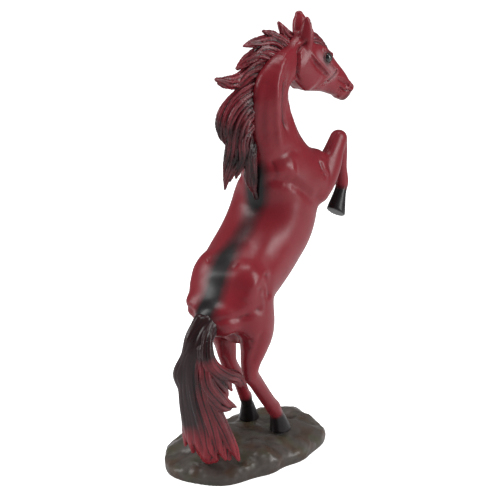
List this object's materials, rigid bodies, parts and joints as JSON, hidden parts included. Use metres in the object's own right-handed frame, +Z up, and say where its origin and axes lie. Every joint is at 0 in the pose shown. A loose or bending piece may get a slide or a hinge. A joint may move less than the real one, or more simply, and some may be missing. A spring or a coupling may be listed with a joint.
{
  "type": "rearing horse statuette",
  "caption": "Rearing horse on an oval rock: painted cast-resin pieces pegged together on hidden rods, standing free on a flat underside.",
  "frame": {"origin": "on the rock's flat underside, straight below the horse's loin", "axes": "+X the way the horse's hindquarters head, +Y its left side, +Z up"},
  "size_m": [0.173, 0.0909, 0.318],
  "materials": {
    "red_paint": "semi-gloss airbrushed dark red, shaded to black",
    "dark_hair_paint": "semi-gloss dark red washed over with black",
    "stone_paint": "varnished grey brown stone paint",
    "black_bead": "glossy black",
    "steel_rod": "plain drawn wire"
  },
  "bodies": {
    "root": {"body": "red_paint", "crest_tufts": "dark_hair_paint", "forelock": "dark_hair_paint", "hanging_mane": "dark_hair_paint", "head": "red_paint", "head_dowel": "steel_rod", "left_eye": "black_bead", "left_foreleg": "red_paint", "left_foreleg_dowel": "steel_rod", "left_hind_leg": "red_paint", "left_leg_rod": "steel_rod", "middle_mane": "dark_hair_paint", "neck": "red_paint", "neck_dowel": "steel_rod", "right_eye": "black_bead", "right_foreleg": "red_paint", "right_foreleg_dowel": "steel_rod", "right_hind_leg": "red_paint", "right_leg_rod": "steel_rod", "rock": "stone_paint", "tail": "dark_hair_paint", "tail_lower_curl": "dark_hair_paint", "tail_middle_curl": "dark_hair_paint", "tail_rod": "steel_rod", "tail_upper_curl": "dark_hair_paint", "withers_lock": "dark_hair_paint"}
  },
  "joints": []
}
